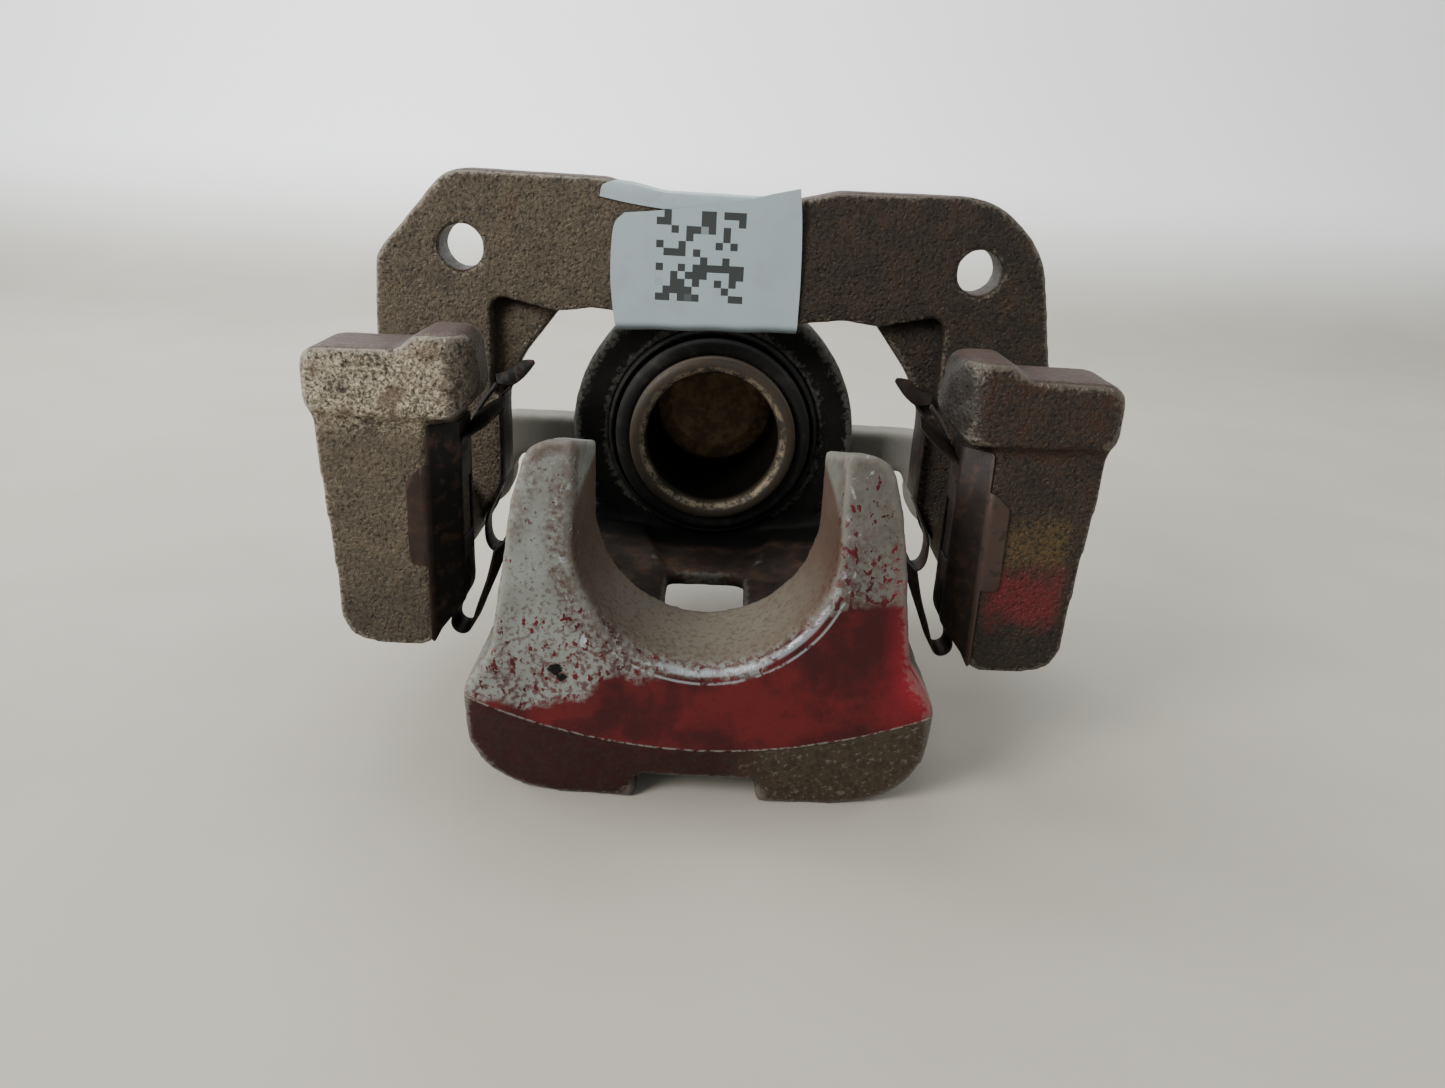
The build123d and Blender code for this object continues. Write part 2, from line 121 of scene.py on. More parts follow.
# one material, with short ways to make the nodes that feed its shader
class Finish:
    def __init__(self, name):
        self.material = bpy.data.materials.new(name)
        self.material.use_nodes = True
        self.tree = self.material.node_tree
        self.shader = self.tree.nodes["Principled BSDF"]
        self.place = self.node("ShaderNodeTexCoord", output="Object")
        self.x, self.y, self.z = self.split(self.place)

    def node(self, kind, settings=None, inputs=None, output=0):
        made = self.tree.nodes.new(kind)
        for name, value in (settings or {}).items():
            setattr(made, name, value)
        for name, value in (inputs or {}).items():
            plug(self.tree, made.inputs[name], value)
        return Wire(self.tree, made.outputs[output])

    def split(self, vector):
        made = self.tree.nodes.new("ShaderNodeSeparateXYZ")
        plug(self.tree, made.inputs[0], vector)
        return [Wire(self.tree, socket) for socket in made.outputs]

    def moved(self, offset, stretch=(1, 1, 1)):
        return self.node("ShaderNodeMapping", inputs={
            "Vector": self.place, "Location": offset, "Scale": stretch}, output="Vector")

    def noise(self, size, detail=4.0, rough=0.55, offset=None, stretch=(1, 1, 1), warp=0.0):
        # an offset makes each noise its own, so that two of one size don't match
        vector = self.moved(offset or (0, 0, 0), stretch) if offset or stretch != (1, 1, 1) else self.place
        return self.node("ShaderNodeTexNoise", inputs={
            "Vector": vector, "Scale": 1 / size, "Detail": detail, "Roughness": rough,
            "Distortion": warp}, output="Fac")

    def cells(self, size, offset):
        return self.node("ShaderNodeTexVoronoi", inputs={
            "Vector": self.moved(offset), "Scale": 1 / size}, output="Distance")

    def fromAxis(self):
        # the distance from the piston's axis
        return (self.x * self.x + (self.z - axisZ) * (self.z - axisZ)).power(0.5)

    def fade(self, value, low, high):
        # 0 below low, 1 above high and smooth between; with low above high it is turned round
        if low > high:
            return 1 - self.fade(value, high, low)
        return self.node("ShaderNodeMapRange", {"interpolation_type": "SMOOTHSTEP"}, {
            "Value": value, "From Min": low, "From Max": high}, output="Result")

    def band(self, value, middle, half, soft):
        # 1 within half of the middle, fading out over soft
        return self.fade(abs(value - middle), half + soft, half)

    def spot(self, x, z, radius, wander, tall=1.0):
        # an uneven blot on the front
        across, up = self.x - x, (self.z - z) / tall
        away = (across * across + up * up).power(0.5) + (wander - 0.5) * (radius * 2.5)
        return self.fade(away, radius + 0.15 * mm, radius - 0.1 * mm)

    def attribute(self, name):
        return self.node("ShaderNodeAttribute", {"attribute_name": name}, output="Fac")

    def mix(self, mask, first, second):
        made = self.tree.nodes.new("ShaderNodeMix")
        made.data_type = "RGBA"
        for name, value in (("Factor", mask), ("A", first), ("B", second)):
            plug(self.tree, [s for s in made.inputs if s.name == name and s.enabled][0], value)
        return Wire(self.tree, [s for s in made.outputs if s.enabled][0])

    def setUp(self, colour, roughness, metallic=0.0, height=None, depth=0.1 * mm, strength=1.0, gloss=0.5):
        for name, value in (("Base Color", colour), ("Roughness", roughness), ("Metallic", metallic)):
            plug(self.tree, self.shader.inputs[name], value)
        self.shader.inputs["Specular IOR Level"].default_value = gloss
        if height is not None:
            bump = self.node("ShaderNodeBump", inputs={
                "Height": height, "Strength": strength, "Distance": depth}, output="Normal")
            plug(self.tree, self.shader.inputs["Normal"], bump)
        return self.material


def tint(red, green, blue):
    # screen values from 0 to 255, as the linear colour that a shader takes
    def linear(value):
        return value / 255 / 12.92 if value < 10.3 else ((value / 255 + 0.055) / 1.055) ** 2.4
    return tuple(linear(value) for value in (red, green, blue)) + (1.0,)


# the housing: worn grey paint, red overspray low on the front, rust and soot behind
housingLook = {
    "grey": tint(114, 117, 113),
    "greyDull": tint(98, 98, 93),
    "greyShadedRight": tint(80, 77, 70),
    "red": tint(82, 25, 27),
    "redDeep": tint(52, 20, 21),
    "redBright": tint(148, 30, 46),
    "underRed": tint(42, 20, 19),
    "underBrown": tint(60, 50, 39),
    "brown": tint(66, 47, 37),
    "tan": tint(88, 80, 68),
    "bareIron": tint(40, 34, 30),
    "sootAndShade": tint(9, 8, 7),
    "dust": tint(126, 124, 116),
    "silver": tint(158, 164, 168),
    "partingZ": 14 * mm,            # the parting line's height in the middle, and how fast it climbs outwards
    "partingRise": 0.00436 / mm,
    "uFront": 25.7 * mm,            # the U's radius at the fingers' front
    "bandZ": 29.5 * mm,             # the red band's top in the middle
    "bandLift": 18 * mm,            # how much higher it runs on the right, and lower on the left
    "bandDrop": 7 * mm,
    "bandWander": 9 * mm,
    "speckReach": 36 * mm,          # how far above the band the red specks go
    "front": (-60 * mm, -64 * mm),  # where the fingers' sides turn into their front
    "back": (-48 * mm, -42 * mm),   # where the paint ends and bare iron begins
    "tips": (70 * mm, 76 * mm),
    "redSide": (34 * mm, 44 * mm),
    "dustyEars": (34 * mm, 40 * mm),
    "closedEnd": (48 * mm, 56 * mm),
    "silverLine": 1.6 * mm,         # bright lines, outwards from the U's edge
    "outerLine": 3.6 * mm,
    "chip": (-23.3 * mm, 36.7 * mm, 0.65 * mm),
    "blackSpots": [(-28.6 * mm, 30.4 * mm, 1.3 * mm), (-27.4 * mm, 28.8 * mm, 1.0 * mm)],
    "relief": 0.35 * mm,
    "gloss": 0.15,
}


def redBandTop(m):
    # the band's upper edge, higher on the right and just under the U in the middle
    look = housingLook
    raised = m.fade(m.x, 6 * mm, 30 * mm) * look["bandLift"]
    left = m.fade(m.x, -14 * mm, -30 * mm) * look["bandDrop"]
    wander = (m.noise(6 * mm, 5, 0.6, offset=(0.2, 0.2, 0.9)) - 0.5) * look["bandWander"]
    return raised - left + look["bandZ"] + wander


def housingPaint():
    look = housingLook
    m = Finish("housing_paint")
    grain = m.noise(0.7 * mm, 5, 0.6)
    broad = m.noise(13 * mm, 3, 0.5, offset=(0.3, 0.1, 0.7))
    patch = m.noise(4 * mm, 5, 0.65, offset=(0.9, 0.4, 0.2))
    freckle = m.noise(1.1 * mm, 4, 0.6, offset=(0.1, 0.7, 0.6))
    fromAxis = m.fromAxis()
    front = m.fade(m.y, *look["front"])
    wear = m.attribute("wear")
    hollow = m.attribute("hollow")
    # worn grey paint, dirtier in patches and brown towards the tips
    colour = m.mix(m.fade(broad, 0.35, 0.65), look["greyDull"], look["grey"])
    colour = m.mix(m.fade(patch, 0.56, 0.72) * 0.3, colour, look["brown"])
    tipDirt = m.fade(m.z + (patch - 0.5) * (12 * mm), *look["tips"])
    colour = m.mix(tipDirt * 0.7, colour, look["brown"])
    # brown patina along the U's lip and the outer edges, and in fine freckles
    nearLip = m.fade(fromAxis, 33 * mm, 29 * mm)
    nearEdge = m.fade(abs(m.x) + (m.z - 40 * mm) * 0.42, 41 * mm, 46 * mm)
    patina = nearLip.most(nearEdge) * m.fade(freckle + (patch - 0.5) * 0.3, 0.34, 0.62)
    colour = m.mix(patina * front * 0.7, colour, look["brown"])
    low = m.fade(m.z, 60 * mm, 36 * mm)
    colour = m.mix(m.fade(freckle + low * 0.07, 0.56, 0.66) * 0.55, colour, look["brown"])
    colour = m.mix(m.fade(freckle, 0.64, 0.7) * 0.5, colour, look["bareIron"])
    # painted shade: the grey paint darker on the right side
    shadedRightSide = m.fade(m.x + (patch - 0.5) * (20 * mm), 8 * mm, 30 * mm)
    colour = m.mix(shadedRightSide * 0.75, colour, look["greyShadedRight"])
    # red: a solid band, fine specks above it that thin out upwards
    over = m.z - redBandTop(m)
    solid = m.fade(over, 1.0 * mm, -1.0 * mm) * front
    near = m.fade(over, look["speckReach"], 0.0)
    drops = m.noise(1.5 * mm, 3, 0.6, offset=(0.5, 0.8, 0.1), stretch=(1, 1, 0.72))
    rightMore = m.fade(m.x, 10 * mm, 26 * mm) * 0.03
    fewer = m.fade(m.z, 66 * mm, 80 * mm) * 0.05
    specks = m.fade(drops + near * 0.085 + rightMore - fewer, 0.655, 0.685) * front
    mist = near.power(3.0) * m.fade(freckle, 0.42, 0.62) * front * 0.6
    red = m.mix(m.fade(broad + (patch - 0.5) * 0.6, 0.35, 0.7), look["redDeep"], look["red"])
    fresh = m.fade(m.x, *look["redSide"]) * m.fade(m.z, 18 * mm, 30 * mm)
    red = m.mix(fresh * 0.6, red, look["redBright"])
    red = m.mix(m.fade(patch, 0.6, 0.72) * 0.55, red, look["redDeep"])
    redMask = solid.most(specks).most(mist)
    colour = m.mix(redMask, colour, red)
    # below the parting line: dark red-brown on the left, brown iron on the right
    parting = m.x * m.x * look["partingRise"] + look["partingZ"]
    below = m.fade(m.z - parting, 0.35 * mm, -0.35 * mm) * m.fade(m.y, -55 * mm, -60 * mm)
    side = m.fade(m.x + (patch - 0.5) * (18 * mm), 2 * mm, 18 * mm)
    under = m.mix(side, look["underRed"], look["underBrown"])
    under = m.mix(m.fade(freckle + (patch - 0.5) * 0.4, 0.48, 0.62) * 0.6, under, look["bareIron"])
    under = m.mix(m.fade(freckle, 0.42, 0.34) * side * 0.6, under, look["greyDull"])
    under = m.mix((1 - side) * m.fade(patch, 0.5, 0.62) * 0.5, under, look["redDeep"])
    colour = m.mix(below, colour, under)
    seam = m.band(m.z - parting, 0.0, 0.12 * mm, 0.25 * mm) * front
    colour = m.mix(seam * m.fade(freckle, 0.42, 0.55) * 0.55, colour, look["dust"])
    # the U's wall: brown, darker higher up with painted shade, paler low down
    wall = m.fade(fromAxis, look["uFront"] + 0.7 * mm, look["uFront"] - 0.2 * mm)
    wall = wall * m.fade(m.y, -40 * mm, -47 * mm)
    wallLow = m.fade(m.z + (patch - 0.5) * (8 * mm), 54 * mm, 34 * mm)
    wallColour = m.mix(wallLow, look["brown"], look["tan"])
    wallColour = m.mix(m.fade(freckle, 0.52, 0.64) * 0.5, wallColour, look["brown"])
    colour = m.mix(wall * 0.85, colour, wallColour)
    # silver where the U's lip and the finger tips have been knocked, with painted highlights along the lip's
    # rounded edges
    lip = m.band(fromAxis, look["uFront"] + look["silverLine"], 0.2 * mm, 0.75 * mm)
    lip = lip * m.fade(m.y, -66 * mm, -67.5 * mm)
    lowLip = m.fade(m.z + m.x * -0.5, 44 * mm, 30 * mm)
    scrape = m.noise(2.4 * mm, 5, 0.7, offset=(0.8, 0.3, 0.5))
    bright = lip * m.fade(scrape + lowLip * 0.2, 0.54, 0.72) * 0.65
    ring = m.band(fromAxis, look["uFront"] + look["outerLine"], 0.1 * mm, 0.3 * mm) * front
    ring = ring * m.fade(scrape + lowLip * 0.12, 0.52, 0.64)
    knocks = m.fade(scrape, 0.6, 0.66) * m.fade(fromAxis, 32 * mm, 27 * mm)
    knocks = knocks * m.fade(m.x, -14 * mm, -20 * mm) * m.fade(m.z, 48 * mm, 54 * mm) * front
    chip = m.spot(*look["chip"], freckle, 1.8) * front
    tips = m.fade(scrape + (freckle - 0.5) * 0.3, 0.6, 0.66) * m.fade(m.z, 70 * mm, 74 * mm) * front
    bright = bright.most(ring * 0.6).most(knocks * 0.9).most(chip).most(tips * 0.8)
    colour = m.mix(bright, colour, look["silver"])
    first, second = look["blackSpots"]
    black = m.spot(*first, freckle).most(m.spot(*second, freckle))
    colour = m.mix(black * front, colour, look["sootAndShade"])
    # the bridge, cylinder and ears: bare dirty iron, black round the piston from dirt and painted shade,
    # dusty on the ears
    back = m.fade(m.y, *look["back"])
    iron = m.mix(m.fade(patch, 0.4, 0.7), look["bareIron"], look["brown"])
    iron = m.mix(m.fade(broad, 0.4, 0.6) * 0.6, iron, look["sootAndShade"])
    ears = m.fade(abs(m.x), *look["dustyEars"]) * m.fade(m.y, 26 * mm, 30 * mm)
    iron = m.mix(ears * 0.9, iron, look["dust"])
    closedEnd = m.fade(m.y, *look["closedEnd"]) * m.fade(patch, 0.35, 0.6)
    iron = m.mix(closedEnd * 0.6, iron, look["greyDull"])
    colour = m.mix(back, colour, iron)
    # the black ring round the cylinder's mouth: dirt with painted shade
    mouth = m.band(m.y, 17 * mm, 9 * mm, 6 * mm) * m.fade(fromAxis, 46 * mm, 42 * mm)
    mouth = mouth * m.fade(m.z, 18 * mm, 24 * mm)
    colour = m.mix(mouth * 0.96, colour, look["sootAndShade"])
    # dirt and painted shade in the corners, rubbed edges
    colour = m.mix(m.fade(hollow + (grain - 0.5) * 0.6, 0.3, 0.9) * 0.7, colour, look["sootAndShade"])
    rubbed = m.fade(wear + (freckle - 0.5) * 1.4, 0.55, 1.0) * (1 - bright)
    colour = m.mix(rubbed * 0.3, colour, look["dust"])
    rough = 0.55 + (grain - 0.5) * 0.3 - solid * 0.25 - bright * 0.2 + back * 0.1
    height = (grain * 0.3 + patch * 0.5 + freckle * 0.2) * (1 - solid * 0.55)
    height = height - bright * 0.3 + seam * 0.6 + redMask * 0.1
    return m.setUp(colour, rough, bright * 0.7, height, look["relief"], 1.0, look["gloss"])


# the carrier: rough sand-cast iron, lit olive-brown on the left and nearly black with painted shade on the
# right
carrierLook = {
    "litIronLeft": tint(60, 51, 40),
    "litPaleLeft": tint(112, 101, 83),
    "lugHighlightPale": tint(206, 192, 168),
    "shadedIronRight": tint(29, 24, 21),
    "shadedPaleRight": tint(74, 60, 46),
    "brownTop": tint(56, 34, 26),
    "dark": tint(14, 12, 11),
    "bright": tint(132, 126, 114),
    "red": tint(92, 28, 30),
    "yellow": tint(84, 66, 38),
    "greyRub": tint(64, 63, 62),
    "grainSize": 0.4 * mm,
    "pebbleSize": 0.85 * mm,
    "lugFront": (-46 * mm, -52 * mm),
    "lugLow": (70 * mm, 78 * mm),
    "redZ": 44 * mm,                # overspray on the right leg's front
    "yellowZ": 55 * mm,
    "relief": 0.8 * mm,
    "gloss": 0.25,
}


def carrierIron():
    look = carrierLook
    m = Finish("carrier_iron")
    grain = m.noise(look["grainSize"], 4, 0.6)
    pebble = m.noise(look["pebbleSize"], 4, 0.6, offset=(0.1, 0.5, 0.3), warp=0.4)
    pits = m.cells(1.5 * mm, offset=(0.3, 0.3, 0.1))
    patch = m.noise(6 * mm, 5, 0.6, offset=(0.4, 0.1, 0.8))
    broad = m.noise(24 * mm, 4, 0.55, offset=(0.7, 0.3, 0.4))
    facing = m.split(m.node("ShaderNodeTexCoord", output="Normal"))[2]
    wear = m.attribute("wear")
    hollow = m.attribute("hollow")
    # painted light: the right side darker as painted shade, the left lighter where it is lit
    right = m.fade(m.x + (broad - 0.5) * (60 * mm), -20 * mm, 16 * mm)
    base = m.mix(right, look["litIronLeft"], look["shadedIronRight"])
    pale = m.mix(right, look["litPaleLeft"], look["shadedPaleRight"])
    # a painted highlight on the lit fronts of the left lugs
    lugs = m.fade(m.y, *look["lugFront"]) * m.fade(m.z, *look["lugLow"])
    pale = m.mix(lugs * (1 - right), pale, look["lugHighlightPale"])
    crest = m.fade(pebble * 0.6 + grain * 0.4 + (patch - 0.5) * 0.4, 0.36, 0.7)
    colour = m.mix(crest * (0.6 + 0.25 * lugs), base, pale)
    colour = m.mix(m.fade(pebble, 0.44, 0.3) * 0.7, colour, look["dark"])
    colour = m.mix(lugs * m.fade(patch, 0.5, 0.62) * 0.6, colour, look["brownTop"])
    colour = m.mix(m.fade(patch, 0.55, 0.72) * 0.45, colour, look["brownTop"])
    # lower parts of the legs are darker, tops are brown and smoother
    lower = m.fade(m.z, 52 * mm, 30 * mm) * m.fade(m.y, -30 * mm, -36 * mm)
    colour = m.mix(lower * 0.35, colour, look["dark"])
    top = m.fade(facing, 0.5, 0.85)
    topColour = m.mix(m.fade(patch, 0.4, 0.65), look["brownTop"], look["shadedIronRight"])
    colour = m.mix(top * 0.8, colour, topColour)
    # painted shade on the inner faces between the legs, behind the front
    inner = m.fade(abs(m.x), 54 * mm, 50 * mm) * m.fade(m.y, -34 * mm, -38 * mm)
    colour = m.mix(inner * 0.5, colour, look["dark"])
    rubbed = inner * m.fade(m.x, 0.0, 1 * mm) * m.fade(patch, 0.4, 0.6)
    colour = m.mix(rubbed * 0.5, colour, look["greyRub"])
    # overspray on the front of the right leg
    drop = m.noise(5 * mm, 5, 0.65, offset=(0.6, 0.6, 0.2))
    leg = m.fade(m.x, 57 * mm, 61 * mm) * m.fade(m.x, 76 * mm, 72 * mm) * m.fade(m.y, -48 * mm, -51 * mm)
    redLeg = leg * m.fade(abs(m.z - look["redZ"]) + (drop - 0.5) * (12 * mm), 9 * mm, 3 * mm)
    yellowLeg = leg * m.fade(abs(m.z - look["yellowZ"]) + (drop - 0.5) * (12 * mm), 8 * mm, 2 * mm)
    colour = m.mix(yellowLeg * m.fade(pebble, 0.3, 0.62) * 0.75, colour, look["yellow"])
    colour = m.mix(redLeg * m.fade(pebble, 0.22, 0.55) * 0.85, colour, look["red"])
    # bright worn edges, brown tops, black corners of dirt and painted shade
    worn = m.fade(wear + (pebble - 0.5) * 1.6 + lugs * 0.15, 0.62, 1.05)
    colour = m.mix(worn * (0.6 - 0.25 * right), colour, look["bright"])
    colour = m.mix(m.fade(facing, 0.7, 0.92) * 0.8, colour, look["brownTop"])
    dirtAndShade = m.fade(hollow + (grain - 0.5) * 0.6, 0.3, 0.9)
    colour = m.mix(dirtAndShade * 0.8, colour, look["dark"])
    rough = 0.52 + (grain - 0.5) * 0.3 - crest * 0.1 - worn * 0.12 + top * 0.08
    height = (grain * 0.25 + pebble * 0.75 - m.fade(pits, 0.35, 0.1) * 0.25) * (1 - top * 0.55)
    shine = crest * (0.3 + lugs * 0.3) + worn * 0.4
    return m.setUp(colour, rough, shine, height, look["relief"], 1.0, look["gloss"])


pistonLook = {
    "steel": tint(58, 54, 47),
    "rust": tint(66, 54, 42),
    "tan": tint(142, 130, 108),
    "dark": tint(9, 7, 5),
    "floor": tint(112, 90, 64),
    "floorPale": tint(150, 124, 86),
    "brightRing": 3.4 * mm,         # in from the piston's outside
    "gloss": 0.3,
}


def pistonSteel():
    look = pistonLook
    m = Finish("piston_steel")
    grain = m.noise(0.6 * mm, 5, 0.6)
    patch = m.noise(3.2 * mm, 5, 0.65)
    fromAxis = m.fromAxis()
    depth = m.y - rimY
    colour = m.mix(m.fade(patch, 0.4, 0.62), look["steel"], look["rust"])
    edge = m.band(fromAxis, pistonRadius - look["brightRing"], 0.3 * mm, 0.9 * mm)
    edge = edge * m.fade(depth, 3 * mm, 1 * mm) * m.fade(patch + (grain - 0.5) * 0.6, 0.4, 0.6)
    colour = m.mix(edge * 0.8, colour, look["tan"])
    colour = m.mix(m.fade(grain, 0.55, 0.72) * 0.5, colour, look["dark"])
    # the cup's wall is nearly black from dirt and painted shade, its floor brown
    inside = m.fade(depth, 1.5 * mm, 5 * mm) * m.fade(fromAxis, pistonRadius - 2 * mm, pistonRadius - 3 * mm)
    colour = m.mix(inside, colour, look["dark"])
    floorColour = m.mix(m.fade(patch, 0.4, 0.65), look["floor"], look["floorPale"])
    colour = m.mix(inside * m.fade(depth, 40 * mm, 44.5 * mm), colour, floorColour)
    height = grain * 0.4 + patch * 0.6
    return m.setUp(colour, 0.42 + grain * 0.3, 0.35, height, 0.15 * mm, 0.9, look["gloss"])


def rubber(name, tone=(20, 19, 18), dusty=0.3):
    m = Finish(name)
    grain = m.noise(0.5 * mm, 4, 0.6)
    dust = m.fade(m.noise(3.5 * mm, 5, 0.65), 0.48, 0.75)
    colour = m.mix(dust * dusty, tint(*tone), tint(72, 66, 58))
    return m.setUp(colour, 0.5 + grain * 0.35, 0.0, grain, 0.05 * mm, 0.6, 0.2)


def plainSteel(name, light, dark, rusty, rustAmount, shine):
    m = Finish(name)
    grain = m.noise(0.5 * mm, 5, 0.6)
    patch = m.noise(3.0 * mm, 5, 0.6)
    colour = m.mix(m.fade(patch, 0.35, 0.7), tint(*light), tint(*dark))
    rust = m.fade(m.noise(2.2 * mm, 6, 0.65, offset=(0.3, 0.6, 0.9)), 0.5, 0.68) * rustAmount
    colour = m.mix(rust, colour, tint(*rusty))
    rough = 0.4 + grain * 0.3 + rust * 0.2
    return m.setUp(colour, rough, (1 - rust) * shine, grain * 0.5 + rust * 0.5, 0.06 * mm, 0.7)


# heat-browned sheet: the flaps are brown, what lies behind them nearly black with painted shade, the left
# side darker as painted shade
clipLook = {
    "flapShadedLeft": tint(44, 33, 28),
    "flapLitRight": tint(64, 52, 46),
    "innerShadeLeft": tint(15, 13, 11),
    "innerShadeRight": tint(36, 30, 27),
    "rust": tint(70, 48, 38),
    "dark": tint(14, 12, 11),
    "flapFront": (-52.2 * mm, -52.8 * mm),
}


def clipSteel():
    look = clipLook
    m = Finish("clip_steel")
    grain = m.noise(0.5 * mm, 5, 0.6)
    patch = m.noise(2.6 * mm, 5, 0.6)
    # painted shade: the left side darker than the right
    right = m.fade(m.x, -10 * mm, 10 * mm)
    flap = m.mix(right, look["flapShadedLeft"], look["flapLitRight"])
    inner = m.mix(right, look["innerShadeLeft"], look["innerShadeRight"])
    colour = m.mix(m.fade(m.y, *look["flapFront"]), inner, flap)
    colour = m.mix(m.fade(patch, 0.5, 0.68) * 0.4, colour, look["rust"])
    colour = m.mix(m.fade(patch, 0.46, 0.34) * 0.4, colour, look["dark"])
    height = grain * 0.5 + patch * 0.5
    return m.setUp(colour, 0.42 + grain * 0.3, 0.25, height, 0.08 * mm, 0.8, 0.2)


labelLook = {
    # the white paper's colour is darkened as painted shade
    "paper": tint(148, 160, 165),
    "shaded": tint(136, 142, 148),
    "ink": tint(24, 27, 24),
    "printLeft": -15.0 * mm,
    "printLow": 94.5 * mm,
    "printSize": 20.5 * mm,
    "cellsAcross": 12,
    "inked": (0.54, 0.56),          # a block is printed where its random number is above these
}


def labelPaper():
    look = labelLook
    m = Finish("label_paper")
    fibre = m.noise(0.4 * mm, 3, 0.5)
    grime = m.fade(m.noise(8 * mm, 4, 0.55), 0.45, 0.8)
    colour = m.mix(grime * 0.5, look["paper"], look["shaded"])
    # a chequer of random blocks, with no reading in it
    across = (m.x - look["printLeft"]) / look["printSize"]
    up = (m.z - look["printLow"]) / look["printSize"]
    within = m.band(across, 0.5, 0.5, 0.001) * m.band(up, 0.5, 0.5, 0.001) * m.fade(m.y, 0.0, -2 * mm)
    column = (across * look["cellsAcross"]).floor()
    row = (up * look["cellsAcross"]).floor()
    cell = m.node("ShaderNodeCombineXYZ", inputs={"X": column, "Y": row}, output="Vector")
    dice = m.node("ShaderNodeTexWhiteNoise", {"noise_dimensions": "2D"}, {"Vector": cell}, output="Value")
    printed = within * m.fade(dice, *look["inked"])
    colour = m.mix(printed * 0.95, colour, look["ink"])
    return m.setUp(colour, 0.5 + fibre * 0.2, 0.0, fibre + grime * 0.4, 0.04 * mm, 0.5)


finishes = {
    "housing": housingPaint(),
    "carrier": carrierIron(),
    "piston": pistonSteel(),
    "boot": rubber("boot_rubber"),
    "seal": rubber("seal_rubber", (26, 25, 24)),
    "cap": rubber("cap_rubber", (22, 22, 22), 0.45),
    "ring": plainSteel("ring_wire", (52, 46, 40), (34, 30, 27), (52, 38, 29), 0.5, 0.6),
    "pin": plainSteel("pin_steel", (118, 114, 106), (84, 78, 70), (74, 56, 42), 0.4, 0.9),
    "bolt": plainSteel("bolt_steel", (112, 104, 88), (78, 70, 58), (78, 52, 36), 0.8, 0.8),
    "clip": clipSteel(),
    "bleeder": plainSteel("bleeder_steel", (124, 114, 90), (88, 78, 60), (74, 52, 38), 0.6, 0.8),
    "label": labelPaper(),
}
print("finishes made")


def newPiece(name, mesh):
    piece = bpy.data.objects.new(name, mesh)
    bpy.context.scene.collection.objects.link(piece)
    return piece


def pieceFrom(name, shape):
    mesh = bpy.data.meshes.new(name)
    shape.to_mesh(mesh)
    shape.free()
    return newPiece(name, mesh)


def dress(piece, finish, body, standsFor):
    piece.data.materials.clear()
    piece.data.materials.append(finishes[finish])
    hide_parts(standsFor)
    if body:
        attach(piece, body)
    return piece


def applyModifiers(piece):
    bpy.context.view_layer.update()
    ready = piece.evaluated_get(bpy.context.evaluated_depsgraph_get())
    mesh = bpy.data.meshes.new_from_object(ready)
    piece.modifiers.clear()
    piece.data = mesh
    return piece


def thicken(piece, wall):
    made = piece.modifiers.new("wall", "SOLIDIFY")
    made.thickness = wall
    made.offset = 0.0
    made.use_even_offset = True


def smoothShade(piece, angle):
    piece.data.shade_smooth()
    piece.data.set_sharp_from_angle(angle=math.radians(angle))


def scaled(points):
    return [Vector(point) * mm for point in points]


def smoothLine(points, steps):
    # a soft line through every point, with some steps between each two
    ends = [2 * points[0] - points[1]] + list(points) + [2 * points[-1] - points[-2]]
    line = []
    for before, a, b, after in zip(ends, ends[1:], ends[2:], ends[3:]):
        for step in range(steps):
            t = step / steps
            line.append(0.5 * (2 * a + (b - before) * t + (2 * before - 5 * a + 4 * b - after) * t * t
                               + (3 * a - before - 3 * b + after) * t * t * t))
    return line + [points[-1]]


def lathe(profile, centre, steps):
    # a profile of (radius, depth) pairs spun round an axis along Y
    shape = bmesh.new()
    line = [shape.verts.new((centre[0] + r, centre[1] + y, centre[2])) for r, y in profile]
    edges = [shape.edges.new(pair) for pair in zip(line, line[1:])]
    bmesh.ops.spin(shape, geom=line + edges, cent=centre, axis=(0, 1, 0), angle=math.tau,
                   steps=steps, use_merge=True)
    bmesh.ops.remove_doubles(shape, verts=shape.verts, dist=0.01 * mm)
    bmesh.ops.recalc_face_normals(shape, faces=shape.faces)
    return shape


def addRibbon(shape, fronts, backs, steps=4, across=3):
    # a strip of sheet between two lines of points
    fronts, backs = smoothLine(scaled(fronts), steps), smoothLine(scaled(backs), steps)
    points = [shape.verts.new(fronts[0]), shape.verts.new(backs[0])]
    edge = shape.edges.new(points)
    cross = [edge]
    for before, front, back in zip(fronts, fronts[1:], backs[1:]):
        grown = bmesh.ops.extrude_edge_only(shape, edges=[edge])["geom"]
        points = [item for item in grown if isinstance(item, bmesh.types.BMVert)]
        edge = [item for item in grown if isinstance(item, bmesh.types.BMEdge)][0]
        points.sort(key=lambda v: (v.co - before).length)
        points[0].co = front
        points[1].co = back
        cross.append(edge)
    if across > 1:
        bmesh.ops.subdivide_edges(shape, edges=cross, cuts=across - 1, use_grid_fill=True)
    bmesh.ops.recalc_face_normals(shape, faces=shape.faces)


